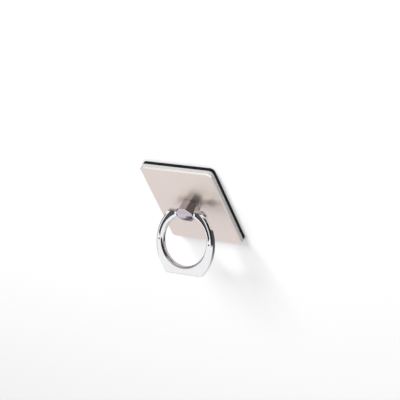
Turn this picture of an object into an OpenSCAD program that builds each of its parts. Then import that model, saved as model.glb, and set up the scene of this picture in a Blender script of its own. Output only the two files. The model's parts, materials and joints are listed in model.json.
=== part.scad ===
// Ring holder for the back of a phone: a square metal plate on an adhesive pad,
// a swivel post in its middle and a folding finger ring that doubles as a stand.
// Millimetres. Origin at the centre of the adhesive face, +Z out of the plate,
// X along the hinge pin and Y along the longer side of the plate.

/* [Base plate] */
// Width of the plate, along the hinge
plate_w = 33.5; // [30:0.1:50]
// Length of the plate, across the hinge
plate_l = 40.2; // [34:0.1:60]
// Thickness of the plate
plate_t = 2; // [1.9:0.1:4]
// Radius of the plate's corners
plate_corner_r = 1.8; // [1:0.1:6]
// Chamfer round the plate's front face
plate_chamfer = 0.45; // [0.2:0.05:0.9]

/* [Adhesive pad] */
// Thickness of the pad
pad_t = 1.6; // [0.8:0.1:3]
// Distance that the pad stays inside the plate's outline
pad_inset = 0.1; // [0.05:0.05:1.5]

/* [Swivel post] */
// Width of the post's eight-sided head, across its flats
head_af = 7.4; // [7:0.1:10]
// Height of the head above the hub disc
head_h = 5.1; // [4.8:0.1:7]
// Radius that rolls the head's top over towards the ring
head_roll_r = 1.2; // [0.6:0.1:2.4]
// Chamfer round the head's top
head_chamfer = 0.2; // [0.1:0.05:0.5]
// Diameter of the shank that turns in the plate
shank_d = 6; // [5:0.1:6.4]
// Length of the shank's end below the retaining clip
shank_end_l = 0.15; // [0.1:0.05:0.2]

/* [Hub disc] */
// Distance that the disc stays inside the head's flats
disc_inset = 0.1; // [0.05:0.05:0.2]
// Thickness of the disc
disc_t = 0.2; // [0.1:0.05:0.5]

/* [Swivel hardware] */
// Diameter of the recess in the plate's back
recess_d = 12; // [11:0.1:16]
// Diameter of the thrust washer and the wave spring
washer_d = 10.6; // [9:0.1:10.8]
// Thickness of the thrust washer
washer_t = 0.3; // [0.2:0.05:0.35]
// Thickness of the wave spring's strip
wave_t = 0.15; // [0.1:0.05:0.2]
// Height of the wave spring over its waves
wave_h = 0.35; // [0.3:0.05:0.4]
// Number of waves round the spring
wave_count = 3; // [2:1:5]
// Thickness of the retaining clip
clip_t = 0.4; // [0.3:0.05:0.45]
// Outer diameter of the retaining clip
clip_d = 8.6; // [8:0.1:10]
// Depth of the clip's groove in the shank
clip_groove = 0.6; // [0.4:0.05:0.8]
// Width of the clip's open mouth
clip_mouth = 3; // [2:0.1:3.6]

/* [Hinge] */
// Height of the hinge axis above the plate's front face
hinge_h = 3.6; // [3.2:0.1:3.8]
// Diameter of the hinge pin
pin_d = 1.5; // [1.2:0.1:1.6]
// Wall of the bushes between the pin and the post
bush_wall = 0.3; // [0.2:0.05:0.4]
// Thickness of the bushes' flanges
flange_t = 0.3; // [0.1:0.05:0.4]
// Diameter of the bushes' flanges
flange_d = 2.9; // [2.7:0.1:3]

/* [Finger ring] */
// Angle between the ring and the plate as the ring stands
ring_angle = 41; // [10:1:90]
// Width of the finger hole at its narrowest
hole_d = 20.2; // [18:0.1:23]
// Distance from the hinge axis to the centre of the finger hole
hole_reach = 11.2; // [10.8:0.1:14]
// Thickness of the ring
ring_t = 2.8; // [2.4:0.1:2.9]
// Width of the ring at its widest
ring_w = 26.7; // [25.8:0.1:30]
// Distance from the hinge axis to the ring's widest place
widest_reach = 12.2; // [11:0.1:14]
// Radius of the ring's bowed sides
side_r = 17.6; // [17:0.1:24]
// Distance from the hinge axis to the flat foot
foot_reach = 24.6; // [24.2:0.1:28]
// Width of the flat foot
foot_w = 16.4; // [12:0.1:17]
// Chamfer along the ring's outer edges
ring_chamfer = 0.6; // [0.2:0.05:0.8]
// Chamfer along the foot
foot_chamfer = 0.3; // [0.1:0.05:0.6]
// Diameter of the rounded lugs that hold the pin
lug_d = 3; // [2.9:0.1:3.6]
// Depth that the pin goes into the closed lug
pin_grip = 2.4; // [1.6:0.1:2.8]

/* [Ring grooves] */
// Depth of the grooves in the ring's arms
groove_depth = 0.4; // [0.2:0.05:0.45]
// Width of the rim between a groove and the finger hole
groove_rim = 0.35; // [0.2:0.05:0.6]
// Width of the rim between a groove and the outer chamfer
groove_margin = 0.4; // [0.2:0.05:0.7]
// Width of the rim between a groove and the lug's inner face
groove_end = 0.8; // [0.3:0.1:1.2]
// Distance from the hinge axis to the start of a groove
groove_start = -0.5; // [-0.8:0.1:3]
// Distance from the hinge axis to the tip of a groove
groove_reach = 10.4; // [8:0.1:12]
// Radius of the curve that closes a groove's tip
groove_tip_r = 8.2; // [7:0.1:12]
// Angle at which that curve meets the tip
groove_tip_turn = 25; // [15:1:40]
// Diameter of the dimple beyond each groove
dimple_d = 0.7; // [0.4:0.05:0.9]
// Distance from a groove's tip to the middle of its dimple
dimple_gap = 1; // [0.6:0.05:2]

/* [Clearances] */
// Radial clearance of a shaft that turns
run_clear = 0.03; // [0.02:0.01:0.08]
// Radial clearance of a piece that is pressed in
press_clear = 0.01; // [0:0.005:0.02]
// Gap between flat faces that slide on each other
slide_gap = 0.02; // [0.01:0.01:0.05]

/* [Hidden] */
$fn = 96;
eps = 0.01;
far = 40;

// Heights of the seats, from the adhesive face
plate_z = pad_t;
front_z = plate_z + plate_t;
disc_z = front_z + slide_gap;
head_z = disc_z + disc_t;
hinge_z = front_z + hinge_h;

// The stack behind the plate's web, from the shank's end upwards
shank_z = plate_z + slide_gap;
clip_z = shank_z + shank_end_l;
washer_z = clip_z + clip_t + slide_gap;
wave_z = washer_z + washer_t + slide_gap;
web_z = wave_z + wave_h + slide_gap;

// Sizes across the hinge
head_half = head_af / 2;
flange_x = head_half + flange_t;
lug_x = flange_x + slide_gap;
bush_d = pin_d + 2 * (run_clear + bush_wall);
bush_l = head_half - 0.4;

// Places in the ring's own plane
hole_r = hole_d / 2;
bow_r = ring_t / 2 + 0.1;
face_r = hole_r + bow_r - sqrt(bow_r * bow_r - ring_t * ring_t / 4);
side_x = side_r - ring_w / 2;
corner_r = norm([foot_w / 2, foot_reach - hole_reach]);
lug_end_x = sqrt(side_r * side_r - widest_reach * widest_reach) - side_x;

champagne = [0.86, 0.82, 0.79];
black = [0.05, 0.05, 0.06];
chrome = [0.8, 0.8, 0.84];
steel = [0.62, 0.63, 0.65];
nylon = [0.12, 0.12, 0.13];

// A flat box with round corners
module rounded_slab(w, l, r, h) {
    translate([-w / 2 + r, -l / 2, 0])
        cube([w - 2 * r, l, h]);
    translate([-w / 2, -l / 2 + r, 0])
        cube([w, l - 2 * r, h]);
    for (x = [-1, 1], y = [-1, 1])
        translate([x * (w / 2 - r), y * (l / 2 - r), 0])
            cylinder(r = r, h = h);
}

// The same outline, drawn in by c over its height c, for the front edge
module chamfered_slab(w, l, r, c) {
    rotate([90, 0, 90])
        translate([0, 0, -w / 2 + r])
            linear_extrude(w - 2 * r)
                polygon([[-l / 2, 0], [l / 2, 0], [l / 2 - c, c], [c - l / 2, c]]);
    rotate([90, 0, 0])
        translate([0, 0, -l / 2 + r])
            linear_extrude(l - 2 * r)
                polygon([[-w / 2, 0], [w / 2, 0], [w / 2 - c, c], [c - w / 2, c]]);
    for (x = [-1, 1], y = [-1, 1])
        translate([x * (w / 2 - r), y * (l / 2 - r), 0])
            cylinder(r1 = r, r2 = r - c, h = c);
}

// A cylinder along X, from x0 to x1
module rod_x(d, x0, x1) {
    translate([x0, 0, 0])
        rotate([0, 90, 0])
            cylinder(d = d, h = x1 - x0);
}

// A flat washer that stands on z
module washer(outer_d, inner_d, t, z) {
    translate([0, 0, z])
        difference() {
            cylinder(d = outer_d, h = t);
            translate([0, 0, -eps])
                cylinder(d = inner_d, h = t + 2 * eps);
        }
}

// The metal plate: bored for the shank, recessed behind for the washers and clip
module base_plate() {
    color(champagne)
        difference() {
            union() {
                translate([0, 0, plate_z])
                    rounded_slab(plate_w, plate_l, plate_corner_r, plate_t - plate_chamfer);
                translate([0, 0, front_z - plate_chamfer])
                    chamfered_slab(plate_w, plate_l, plate_corner_r, plate_chamfer);
            }
            translate([0, 0, plate_z - eps])
                cylinder(d = shank_d + 2 * run_clear, h = plate_t + 2 * eps);
            translate([0, 0, plate_z - eps])
                cylinder(d = recess_d, h = web_z - plate_z + eps);
        }
}

// The black double-sided pad that covers the plate's back
module adhesive_pad() {
    color(black)
        rounded_slab(plate_w - 2 * pad_inset, plate_l - 2 * pad_inset, plate_corner_r - pad_inset, pad_t);
}

// The thin washer, hidden under the head, on which it turns
module hub_disc() {
    color(steel)
        washer(head_af - 2 * disc_inset, shank_d + 2 * press_clear, disc_t, disc_z);
}

// A bar across the head that gives it two of its flats, with chamfers at the top
module head_flats(angle) {
    c = head_chamfer;
    rotate([90, 0, 90 + angle])
        translate([0, 0, -head_af])
            linear_extrude(2 * head_af)
                polygon([[-head_half, 0], [head_half, 0], [head_half, head_h - c],
                         [head_half - c, head_h], [c - head_half, head_h], [-head_half, head_h - c]]);
}

// The eight-sided head, rolled over on the ring's side
module post_head() {
    roll_y = head_roll_r - head_half;
    intersection() {
        head_flats(0);
        head_flats(45);
        head_flats(90);
        head_flats(135);
        union() {
            translate([-head_af, -head_half, 0])
                cube([2 * head_af, head_af, head_h - head_roll_r]);
            translate([-head_af, roll_y, 0])
                cube([2 * head_af, head_half - roll_y, head_h]);
            translate([0, roll_y, head_h - head_roll_r])
                rod_x(2 * head_roll_r, -head_af, head_af);
        }
    }
}

// The post: head, shank through the plate, and the groove for the clip
module swivel_post() {
    groove_r = shank_d / 2 - clip_groove;
    color(chrome)
        difference() {
            union() {
                translate([0, 0, head_z])
                    post_head();
                translate([0, 0, shank_z])
                    cylinder(d = shank_d, h = head_z - shank_z + eps);
            }
            translate([0, 0, clip_z - slide_gap])
                difference() {
                    cylinder(d = shank_d + 1, h = clip_t + 2 * slide_gap);
                    cylinder(r = groove_r, h = clip_t + 2 * slide_gap);
                }
            translate([0, 0, hinge_z])
                rod_x(bush_d + 2 * press_clear, -head_af, head_af);
        }
}

// The wave spring that presses the disc on the plate
module wave_spring() {
    steps = 24 * wave_count;
    inner_r = shank_d / 2 + 0.2;
    outer_r = washer_d / 2 - 0.2;
    swing = (wave_h - wave_t) / 2;
    function lift(i) = swing * (1 + cos(360 * wave_count * i / steps));
    function at(r, i, z) = [r * cos(360 * i / steps), r * sin(360 * i / steps), z];
    points = [for (i = [0 : steps - 1])
        each [at(inner_r, i, lift(i)), at(outer_r, i, lift(i)),
              at(outer_r, i, lift(i) + wave_t), at(inner_r, i, lift(i) + wave_t)]];
    faces = [for (i = [0 : steps - 1], k = [0 : 3])
        let (a = 4 * i, b = 4 * ((i + 1) % steps), n = (k + 1) % 4)
        each [[a + k, a + n, b + n], [a + k, b + n, b + k]]];
    color(steel)
        translate([0, 0, wave_z])
            polyhedron(points, faces);
}

// The washer between the wave spring and the clip
module thrust_washer() {
    color(steel)
        washer(washer_d, shank_d + 2 * press_clear, washer_t, washer_z);
}

// The open clip that snaps into the shank's groove
module retaining_clip() {
    inner_r = shank_d / 2 - clip_groove + press_clear;
    color(steel)
        translate([0, 0, clip_z])
            linear_extrude(clip_t)
                difference() {
                    circle(d = clip_d);
                    circle(r = inner_r);
                    translate([-clip_mouth / 2, 0])
                        square([clip_mouth, clip_d]);
                }
}

// One flanged bush, in the post's right side or, mirrored, in its left
module hinge_bush() {
    color(nylon)
        translate([0, 0, hinge_z])
            difference() {
                union() {
                    rod_x(bush_d, head_half - bush_l, flange_x);
                    rod_x(flange_d, head_half, flange_x);
                }
                rod_x(pin_d + 2 * run_clear, head_half - bush_l - eps, flange_x + eps);
            }
}

module hinge_bush_right() {
    hinge_bush();
}

module hinge_bush_left() {
    mirror([1, 0, 0])
        hinge_bush();
}

// The pin: pressed into both lugs, free to turn in the bushes
module hinge_pin() {
    color(steel)
        translate([0, 0, hinge_z])
            rod_x(pin_d, -lug_x - pin_grip, lug_end_x - ring_chamfer);
}

// A disc about Z with both rims chamfered, the blank for each bowed side
module chamfered_disc(r, t, c) {
    rotate_extrude()
        polygon([[0, -t / 2], [r - c, -t / 2], [r, c - t / 2],
                 [r, t / 2 - c], [r - c, t / 2], [0, t / 2]]);
}

// Puts the right and the left copy of a shape that belongs to a bowed side
module both_sides() {
    children();
    mirror([1, 0, 0])
        children();
}

// The ring's outline: two bowed sides, the foot and its rounded corners
module ring_blank() {
    intersection() {
        translate([-side_x, -widest_reach, 0])
            chamfered_disc(side_r, ring_t, ring_chamfer);
        translate([side_x, -widest_reach, 0])
            chamfered_disc(side_r, ring_t, ring_chamfer);
        translate([0, -hole_reach, 0])
            chamfered_disc(corner_r, ring_t, ring_chamfer);
        translate([-far / 2, 0, 0])
            rotate([90, 0, 90])
                linear_extrude(far)
                    polygon([[0, -ring_t / 2], [0, ring_t / 2], [foot_chamfer - foot_reach, ring_t / 2],
                             [-foot_reach, ring_t / 2 - foot_chamfer],
                             [-foot_reach, foot_chamfer - ring_t / 2],
                             [foot_chamfer - foot_reach, -ring_t / 2]]);
    }
}

// The round lugs at the ends of the arms, ended by the bowed sides
module ring_lugs() {
    intersection() {
        rod_x(lug_d, -far / 2, far / 2);
        translate([-side_x, -widest_reach, -lug_d])
            cylinder(r = side_r, h = 2 * lug_d);
        translate([side_x, -widest_reach, -lug_d])
            cylinder(r = side_r, h = 2 * lug_d);
    }
}

// The finger hole, with a wall that bows inwards to a crest
module finger_hole() {
    translate([0, -hole_reach, 0])
        rotate_extrude()
            difference() {
                translate([0, -lug_d])
                    square([hole_r + bow_r, 2 * lug_d]);
                translate([hole_r + bow_r, 0])
                    circle(r = bow_r);
                translate([face_r, -lug_d])
                    square([bow_r, 2 * lug_d]);
            }
}

// A leaf-shaped groove along the right arm, and the dimple beyond its tip
module arm_groove() {
    inner_r = face_r + groove_rim;
    outer_r = side_r - ring_chamfer - groove_margin;
    dimple_reach = groove_reach + dimple_gap;
    function inner_x(reach) = sqrt(inner_r * inner_r - pow(hole_reach - reach, 2));
    tip_mid_x = inner_x(groove_reach) - groove_tip_r * cos(groove_tip_turn);
    tip_mid_y = groove_tip_r * sin(groove_tip_turn) - groove_reach;
    translate([0, 0, ring_t / 2 - groove_depth]) {
        linear_extrude(lug_d)
            difference() {
                intersection() {
                    translate([-side_x, -widest_reach])
                        circle(r = outer_r);
                    translate([tip_mid_x, tip_mid_y])
                        circle(r = groove_tip_r);
                    translate([lug_x + groove_end, -groove_reach])
                        square([far, groove_reach - groove_start]);
                }
                translate([0, -hole_reach])
                    circle(r = inner_r);
            }
        translate([inner_x(dimple_reach) + dimple_d / 2, -dimple_reach, 0])
            cylinder(d = dimple_d, h = lug_d);
    }
}

// The ring in its own plane, reaching along -Y from the hinge axis
module flat_ring() {
    difference() {
        union() {
            ring_blank();
            ring_lugs();
        }
        finger_hole();
        translate([-lug_x, -hole_reach + hole_r / 2, -lug_d])
            cube([2 * lug_x, hole_reach + lug_d, 2 * lug_d]);
        both_sides()
            arm_groove();
        rod_x(pin_d + 2 * press_clear, -lug_x - pin_grip - slide_gap, far);
    }
}

// The cast ring, stood out from the plate at its angle
module finger_ring() {
    color(chrome)
        translate([0, 0, hinge_z])
            rotate([-ring_angle, 0, 0])
                flat_ring();
}

base_plate();
adhesive_pad();
hub_disc();
swivel_post();
wave_spring();
thrust_washer();
retaining_clip();
hinge_pin();
hinge_bush_left();
hinge_bush_right();
finger_ring();
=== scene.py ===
"""Looks for the ring holder: materials, floor, studio, light and camera. Metres."""

import json
from math import cos, radians, sin

import bpy
from mathutils import Matrix, Vector

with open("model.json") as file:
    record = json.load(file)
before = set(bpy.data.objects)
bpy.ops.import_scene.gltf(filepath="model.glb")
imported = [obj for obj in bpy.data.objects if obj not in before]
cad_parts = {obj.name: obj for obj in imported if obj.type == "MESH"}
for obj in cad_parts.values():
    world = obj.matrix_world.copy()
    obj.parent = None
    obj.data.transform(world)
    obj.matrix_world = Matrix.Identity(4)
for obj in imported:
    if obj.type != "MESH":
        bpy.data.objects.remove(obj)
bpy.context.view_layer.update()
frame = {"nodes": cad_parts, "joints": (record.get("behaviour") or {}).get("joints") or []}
nodes = frame["nodes"]

MM = 0.001

# Nearly all of a noise texture's values lie between these
NOISE_LOW = 0.3
NOISE_HIGH = 0.7

# A mix node's sockets for colours, by number, because its sockets for numbers have the same names
MIX_FIRST = 6
MIX_SECOND = 7
MIX_RESULT = 2

# Where an arm's groove lies, in millimetres: the hinge from the frame, and sizes of part.scad. RING_TOP
# and GROOVE_FLOOR are heights over the ring's middle plane. A start, end or reach is a distance from the
# hinge towards the foot. The groove's painted shade, a dark colour that stands in for the dark reflection
# in the recess, goes SKIN past its floor and walls and stays SKIN below the ring's top.
RING_HINGE = next(joint for joint in frame["joints"] if joint["name"] == "ring_fold")
HINGE_Z = RING_HINGE["pos_m"][2] / MM
RING_ANGLE = radians(41)
RING_TOP = 1.4
GROOVE_FLOOR = 1.0
GROOVE_START = -0.5
DIMPLE_END = 11.9
HOLE_REACH = 11.2
GROOVE_INNER_R = 11.41
SIDE_REACH = 12.2
SIDE_X = 4.25
GROOVE_OUTER_R = 16.6
SKIN = 0.04

# The photograph's camera: where it is, what it looks at, and which way is up on the photograph's table
CAMERA_AT = Vector((0.35239, 0.42270, 0.35511))
LOOK_AT = Vector((0.00140, -0.00118, -0.00129))
TABLE_UP = Vector((0.0, 0.8, -0.6))
LENS_MM = 148.07
SENSOR_MM = 36.0
CLIP_START = 0.01

# The plate's finish. The UP_ values say how far a face's normal points up: below UP_SIDE the face is a
# side, from UP_CUT to UP_FACE a cut chamfer, and above that the plate's face.
FACE_COLOURS = (0.82, 0.745, 0.67), (0.84, 0.765, 0.69)
# The cut chamfer is bright bare metal, and its colour is pushed further to white as a painted highlight
CUT_BRIGHT_AND_HIGHLIGHT = (1.0, 0.965, 0.93)
# Painted light: the sides are paled towards white so that they look lit
SIDE_PAINTED_LIGHT = (0.88, 0.86, 0.84)
UP_SIDE = 0.1
UP_CUT = 0.3
UP_FACE = 0.98
FACE_ROUGH = 0.33
FACE_GRAIN = 0.015
CUT_SMOOTHER = 0.20
SIDE_ROUGHER = 0.15
SIDE_METAL = 0.5

# The chrome: the post's is a darker, pinker copy of the ring's, with painted shade and a painted
# reflection tint, and the grooves' floors have painted shade and are duller
POST_SHADED_COLOURS = (0.66, 0.61, 0.645), (0.70, 0.65, 0.685)
RING_COLOURS = (0.84, 0.84, 0.86), (0.88, 0.88, 0.90)
CHROME_ROUGH = 0.05, 0.10
# Painted shade: the dark colour of the grooves' floors, in place of the dark things the recess mirrors
GROOVE_PAINTED_SHADE = (0.10, 0.10, 0.11)
GROOVE_ROUGHER = 0.3

# The other finishes: two colours that noise mixes, and how rough they are
STEEL_COLOURS = (0.50, 0.51, 0.53), (0.58, 0.59, 0.61)
STEEL_ROUGH = 0.22, 0.34
NYLON_COLOURS = (0.012, 0.012, 0.013), (0.02, 0.02, 0.021)
NYLON_ROUGH = 0.45
FOAM_COLOURS = (0.006, 0.006, 0.008), (0.014, 0.014, 0.017)
FOAM_ROUGH = 0.55, 0.75

# The studio that the metal mirrors. Each patch of it has a direction, the dot products with that
# direction at which the patch begins and is full, and its colour. Later ones lie over earlier ones.
# The comments say what they colour most, with left and right as in the photograph.
STUDIO_COLOUR = (1.0, 1.0, 1.0)
BEHIND_CAMERA = (0.035, 0.03, 0.028)
PATCHES = (
    # Grey low on the +Y side, for the lower left of the finger hole's wall
    ((-0.1, 1, -0.35), 0.62, 0.8, (0.45, 0.42, 0.42)),
    # Grey between -X and +Y, for the post's left facet, the lugs and the bottom of the finger hole's wall
    ((-0.707, 0.707, 0), 0.77, 0.83, (0.34, 0.28, 0.29)),
    # Grey high between +X and -Y, for the plate's right chamfer
    ((0.535, -0.6465, 0.5436), 0.93, 0.97, (0.6, 0.58, 0.57)),
    # Brown low on the +X side, for the left of the finger hole's wall and the arm that the plate mirrors
    ((1, 0, -2), 0.5, 0.8, (0.30, 0.24, 0.18)),
    # Nearly black behind the camera, for the ring's right edge, the left of the finger hole's wall and
    # the post's right facet
    ((0.6535, 0.6535, 0.382), 0.88, 0.92, BEHIND_CAMERA),
    ((0.451, 0.752, 0.481), 0.88, 0.93, BEHIND_CAMERA),
    # Lavender low on the -Y side, for the plate's face and the post's head
    ((-0.4, -0.9, -0.5), 0.46, 0.54, (0.76, 0.71, 0.80)),
)

# The floor, and cards on it that only mirrors see. The dark card fades between two places along Y.
FLOOR_SIZE = 6.0
FLOOR_Z = -0.02 * MM
FLOOR_COLOUR = (0.84, 0.84, 0.84)
FLOOR_ROUGH = 0.9
CARD_Z = -0.01 * MM
CARD_ROUGH = 0.6
CARD_X = 0.8
NEAR_Y = -1.0
FAR_Y = 1.59
DARK_LEFT_X = -0.0715
DARK_NEAR_Y = -0.11
DARK_FAR_Y = 0.0336
BLACK_LEFT_X = 0.021
FADE_NEAR_MM = -95.0
FADE_FAR_MM = -25.0
DARK_CARD = (0.04, 0.045, 0.06)
PALE_CARD = (0.66, 0.65, 0.67)
GREY_CARD = (0.33, 0.31, 0.31)
BLACK_CARD = (0.03, 0.03, 0.03)

# The soft lamp, which gives the shadow
KEY_AT = (-0.08, 0.65, 0.40)
KEY_SIZE = 0.3
KEY_POWER = 5.6


def material(name):
    """A new node material, with its tree and its Principled shader."""
    made = bpy.data.materials.new(name)
    made.use_nodes = True
    tree = made.node_tree
    return made, tree, tree.nodes["Principled BSDF"]


def object_coordinates(tree):
    """The row frame's coordinates in millimetres, which ride with the piece."""
    coordinates = tree.nodes.new("ShaderNodeTexCoord")
    scale = tree.nodes.new("ShaderNodeVectorMath")
    scale.operation = "SCALE"
    scale.inputs["Scale"].default_value = 1 / MM
    tree.links.new(coordinates.outputs["Object"], scale.inputs[0])
    return scale.outputs["Vector"]


def noise(tree, vector, per_mm):
    """A noise texture with about per_mm blotches to the millimetre."""
    made = tree.nodes.new("ShaderNodeTexNoise")
    made.inputs["Scale"].default_value = per_mm
    tree.links.new(vector, made.inputs["Vector"])
    return made.outputs["Fac"]


def remap(tree, value, low, high, to_low, to_high):
    """The value, eased from to_low where it is low to to_high where it is high."""
    made = tree.nodes.new("ShaderNodeMapRange")
    made.interpolation_type = "SMOOTHSTEP"
    made.inputs["From Min"].default_value = low
    made.inputs["From Max"].default_value = high
    made.inputs["To Min"].default_value = to_low
    made.inputs["To Max"].default_value = to_high
    tree.links.new(value, made.inputs["Value"])
    return made.outputs["Result"]


def spread(tree, value, to_low, to_high):
    """Noise stretched to lie between to_low and to_high."""
    return remap(tree, value, NOISE_LOW, NOISE_HIGH, to_low, to_high)


def calculate(tree, operation, first, second=0.0):
    """A math node. Each input is a number or a socket."""
    made = tree.nodes.new("ShaderNodeMath")
    made.operation = operation
    for socket, value in zip(made.inputs, (first, second)):
        if isinstance(value, float):
            socket.default_value = value
        else:
            tree.links.new(value, socket)
    return made.outputs["Value"]


def dot(tree, vector, direction):
    """The vector's part along a fixed direction."""
    made = tree.nodes.new("ShaderNodeVectorMath")
    made.operation = "DOT_PRODUCT"
    made.inputs[1].default_value = direction
    tree.links.new(vector, made.inputs[0])
    return made.outputs["Value"]


def all_of(tree, *masks):
    """Where all the masks hold."""
    made = masks[0]
    for mask in masks[1:]:
        made = calculate(tree, "MULTIPLY", made, mask)
    return made


def hypotenuse(tree, first, second):
    """How long the hypotenuse over two lengths is."""
    squares = [calculate(tree, "POWER", side, 2.0) for side in (first, second)]
    return calculate(tree, "SQRT", calculate(tree, "ADD", *squares))


def mix_colour(tree, factor, first, second):
    """A colour from first to second by factor. Each is a colour or a socket."""
    made = tree.nodes.new("ShaderNodeMix")
    made.data_type = "RGBA"
    tree.links.new(factor, made.inputs["Factor"])
    for socket, value in ((made.inputs[MIX_FIRST], first), (made.inputs[MIX_SECOND], second)):
        if isinstance(value, tuple):
            socket.default_value = (*value, 1.0)
        else:
            tree.links.new(value, socket)
    return made.outputs[MIX_RESULT]


def bump(tree, shader, height, depth_mm):
    """Bump of that depth on the shader."""
    made = tree.nodes.new("ShaderNodeBump")
    made.inputs["Distance"].default_value = depth_mm * MM
    tree.links.new(height, made.inputs["Height"])
    tree.links.new(made.outputs["Normal"], shader.inputs["Normal"])


def champagne():
    """Anodised plate: a satin face, smoother cut chamfers whitened by a painted highlight, and duller
    sides paled by painted light.
    """
    made, tree, shader = material("champagne")
    place = object_coordinates(tree)
    up = dot(tree, tree.nodes.new("ShaderNodeTexCoord").outputs["Normal"], (0, 0, 1))
    side = remap(tree, up, UP_SIDE, UP_CUT, 1.0, 0.0)
    above_side = calculate(tree, "GREATER_THAN", up, UP_CUT)
    cut = all_of(tree, above_side, calculate(tree, "LESS_THAN", up, UP_FACE))
    colour = mix_colour(tree, noise(tree, place, per_mm=0.15), *FACE_COLOURS)
    colour = mix_colour(tree, cut, colour, CUT_BRIGHT_AND_HIGHLIGHT)
    tree.links.new(mix_colour(tree, side, colour, SIDE_PAINTED_LIGHT), shader.inputs["Base Color"])
    tree.links.new(remap(tree, side, 0.0, 1.0, 1.0, SIDE_METAL), shader.inputs["Metallic"])
    grain = noise(tree, place, per_mm=3.0)
    rough = spread(tree, grain, FACE_ROUGH - FACE_GRAIN, FACE_ROUGH + FACE_GRAIN)
    rough = calculate(tree, "ADD", rough, calculate(tree, "MULTIPLY", side, SIDE_ROUGHER))
    rough = calculate(tree, "SUBTRACT", rough, calculate(tree, "MULTIPLY", cut, CUT_SMOOTHER))
    tree.links.new(rough, shader.inputs["Roughness"])
    bump(tree, shader, noise(tree, place, per_mm=9.0), depth_mm=0.0015)
    return made


def painted_groove_shade_mask(tree, place):
    """Where a point of the ring lies in an arm's groove or in the dimple beyond it, where painted shade
    goes.
    """
    hinge = tree.nodes.new("ShaderNodeVectorMath")
    hinge.operation = "SUBTRACT"
    hinge.inputs[1].default_value = (0, 0, HINGE_Z)
    tree.links.new(place, hinge.inputs[0])
    from_hinge = hinge.outputs["Vector"]
    across = calculate(tree, "ABSOLUTE", dot(tree, from_hinge, (1, 0, 0)))
    reach = dot(tree, from_hinge, (0, -cos(RING_ANGLE), sin(RING_ANGLE)))
    height = dot(tree, from_hinge, (0, sin(RING_ANGLE), cos(RING_ANGLE)))
    past_hole = calculate(tree, "SUBTRACT", reach, HOLE_REACH)
    past_side = calculate(tree, "SUBTRACT", reach, SIDE_REACH)
    from_hole = hypotenuse(tree, across, past_hole)
    from_side = hypotenuse(tree, calculate(tree, "ADD", across, SIDE_X), past_side)
    return all_of(
        tree,
        calculate(tree, "LESS_THAN", height, RING_TOP - SKIN),
        calculate(tree, "GREATER_THAN", height, GROOVE_FLOOR - SKIN),
        calculate(tree, "GREATER_THAN", reach, GROOVE_START - SKIN),
        calculate(tree, "LESS_THAN", reach, DIMPLE_END),
        calculate(tree, "GREATER_THAN", from_hole, GROOVE_INNER_R - SKIN),
        calculate(tree, "LESS_THAN", from_side, GROOVE_OUTER_R + SKIN),
    )


def chrome(name, colours, paint_groove_shade):
    """Bright chrome over cast zinc, with faint waves from the casting and fine wear; the colours given
    may hold painted shade, and the grooves' floors can be painted dark as shade.
    """
    made, tree, shader = material(name)
    place = object_coordinates(tree)
    colour = mix_colour(tree, noise(tree, place, per_mm=0.4), *colours)
    rough = spread(tree, noise(tree, place, per_mm=2.5), *CHROME_ROUGH)
    if paint_groove_shade:
        # The grooves' floors get painted shade, a dark colour in place of the dark reflection in the
        # recess
        mask = painted_groove_shade_mask(tree, place)
        colour = mix_colour(tree, mask, colour, GROOVE_PAINTED_SHADE)
        rough = calculate(tree, "ADD", rough, calculate(tree, "MULTIPLY", mask, GROOVE_ROUGHER))
    tree.links.new(colour, shader.inputs["Base Color"])
    tree.links.new(rough, shader.inputs["Roughness"])
    shader.inputs["Metallic"].default_value = 1.0
    bump(tree, shader, noise(tree, place, per_mm=0.35), depth_mm=0.006)
    return made


def steel():
    """Plain bright steel with fine marks."""
    made, tree, shader = material("steel")
    place = object_coordinates(tree)
    colour = mix_colour(tree, noise(tree, place, per_mm=1.0), *STEEL_COLOURS)
    tree.links.new(colour, shader.inputs["Base Color"])
    shader.inputs["Metallic"].default_value = 1.0
    rough = spread(tree, noise(tree, place, per_mm=4.0), *STEEL_ROUGH)
    tree.links.new(rough, shader.inputs["Roughness"])
    return made


def nylon():
    """Black nylon."""
    made, tree, shader = material("nylon")
    place = object_coordinates(tree)
    colour = mix_colour(tree, noise(tree, place, per_mm=1.0), *NYLON_COLOURS)
    tree.links.new(colour, shader.inputs["Base Color"])
    shader.inputs["Roughness"].default_value = NYLON_ROUGH
    return made


def foam():
    """Black acrylic foam with a fine cell texture."""
    made, tree, shader = material("foam")
    place = object_coordinates(tree)
    colour = mix_colour(tree, noise(tree, place, per_mm=5.0), *FOAM_COLOURS)
    tree.links.new(colour, shader.inputs["Base Color"])
    rough = spread(tree, noise(tree, place, per_mm=6.0), *FOAM_ROUGH)
    tree.links.new(rough, shader.inputs["Roughness"])
    bump(tree, shader, noise(tree, place, per_mm=7.0), depth_mm=0.02)
    return made


def paint(finish, *names):
    """Gives CAD nodes their material."""
    for name in names:
        slots = nodes[name].data.materials
        slots.clear()
        slots.append(finish)


def make_floor():
    """A wide pale floor at the adhesive face."""
    bpy.ops.mesh.primitive_plane_add(size=FLOOR_SIZE, location=(0, 0, FLOOR_Z))
    floor = bpy.context.object
    floor.name = "floor"
    made, _, shader = material("floor")
    shader.inputs["Base Color"].default_value = (*FLOOR_COLOUR, 1)
    shader.inputs["Roughness"].default_value = FLOOR_ROUGH
    floor.data.materials.append(made)


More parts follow.
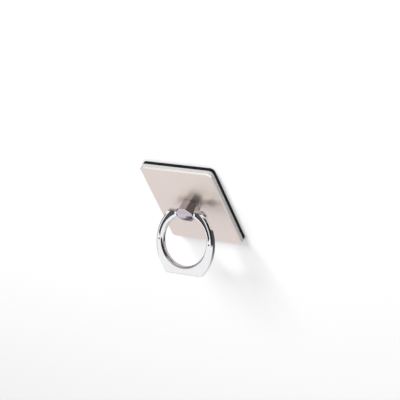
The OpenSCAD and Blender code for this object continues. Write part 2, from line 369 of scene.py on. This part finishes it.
def make_card(name, corners, colour, near_colour=None):
    """A card on the floor that only mirrors see. With near_colour it fades to that towards -Y."""
    mesh = bpy.data.meshes.new(name)
    mesh.from_pydata([(x, y, CARD_Z) for x, y in corners], [], [range(len(corners))])
    card = bpy.data.objects.new(name, mesh)
    bpy.context.scene.collection.objects.link(card)
    made, tree, shader = material(name)
    shader.inputs["Base Color"].default_value = (*colour, 1)
    if near_colour:
        along = dot(tree, object_coordinates(tree), (0, 1, 0))
        far = remap(tree, along, FADE_NEAR_MM, FADE_FAR_MM, 0.0, 1.0)
        tree.links.new(mix_colour(tree, far, near_colour, colour), shader.inputs["Base Color"])
    shader.inputs["Roughness"].default_value = CARD_ROUGH
    card.data.materials.append(made)
    card.visible_camera = False
    card.visible_diffuse = False
    card.visible_shadow = False


def oblong(left, right, near, far):
    """The corners of an oblong card."""
    return (left, near), (right, near), (right, far), (left, far)


def make_cards():
    """Cards that draw the dark and grey lines in the ring's chrome."""
    dark = oblong(DARK_LEFT_X, CARD_X, DARK_NEAR_Y, DARK_FAR_Y)
    pale = oblong(-CARD_X, CARD_X, NEAR_Y, DARK_NEAR_Y)
    grey = (-CARD_X, DARK_FAR_Y), (BLACK_LEFT_X, DARK_FAR_Y), (CARD_X, FAR_Y), (-CARD_X, FAR_Y)
    black = (BLACK_LEFT_X, DARK_FAR_Y), (CARD_X, DARK_FAR_Y), (CARD_X, FAR_Y)
    make_card("dark_card", dark, DARK_CARD, PALE_CARD)
    make_card("pale_card", pale, PALE_CARD)
    make_card("grey_card", grey, GREY_CARD)
    make_card("black_card", black, BLACK_CARD)


def make_world():
    """A white studio with the patches that the metal mirrors."""
    world = bpy.data.worlds.new("studio")
    bpy.context.scene.world = world
    world.use_nodes = True
    tree = world.node_tree
    way = tree.nodes.new("ShaderNodeTexCoord").outputs["Generated"]
    shade = STUDIO_COLOUR
    for direction, begins, full, colour in PATCHES:
        patch = remap(tree, dot(tree, way, direction), begins, full, 0.0, 1.0)
        shade = mix_colour(tree, patch, shade, colour)
    tree.links.new(shade, tree.nodes["Background"].inputs["Color"])


def make_light():
    """A square soft lamp, which mirrors don't show."""
    data = bpy.data.lights.new("key", "AREA")
    data.size = KEY_SIZE
    data.energy = KEY_POWER
    lamp = bpy.data.objects.new("key", data)
    bpy.context.scene.collection.objects.link(lamp)
    lamp.location = KEY_AT
    lamp.rotation_euler = Vector(KEY_AT).to_track_quat("Z", "Y").to_euler()
    lamp.visible_glossy = False


def make_camera():
    """The photograph's camera."""
    data = bpy.data.cameras.new("camera")
    data.lens = LENS_MM
    data.sensor_width = SENSOR_MM
    data.clip_start = CLIP_START
    camera = bpy.data.objects.new("camera", data)
    bpy.context.scene.collection.objects.link(camera)
    back = (CAMERA_AT - LOOK_AT).normalized()
    right = TABLE_UP.cross(back).normalized()
    up = back.cross(right)
    turn = Matrix((right, up, back)).transposed().to_4x4()
    camera.matrix_world = Matrix.Translation(CAMERA_AT) @ turn
    bpy.context.scene.camera = camera


paint(champagne(), "base_plate")
paint(foam(), "adhesive_pad")
# The post gets a darker, pinker copy of the ring's chrome: painted shade and a painted reflection tint
paint(chrome("post_shaded_chrome", POST_SHADED_COLOURS, paint_groove_shade=False), "swivel_post")
paint(chrome("ring_chrome", RING_COLOURS, paint_groove_shade=True), "finger_ring")
paint(nylon(), "hinge_bush_left", "hinge_bush_right")
paint(steel(), "hub_disc", "hinge_pin", "wave_spring", "thrust_washer", "retaining_clip")
make_floor()
make_cards()
make_world()
make_light()
make_camera()
bpy.context.scene.view_settings.view_transform = "Standard"
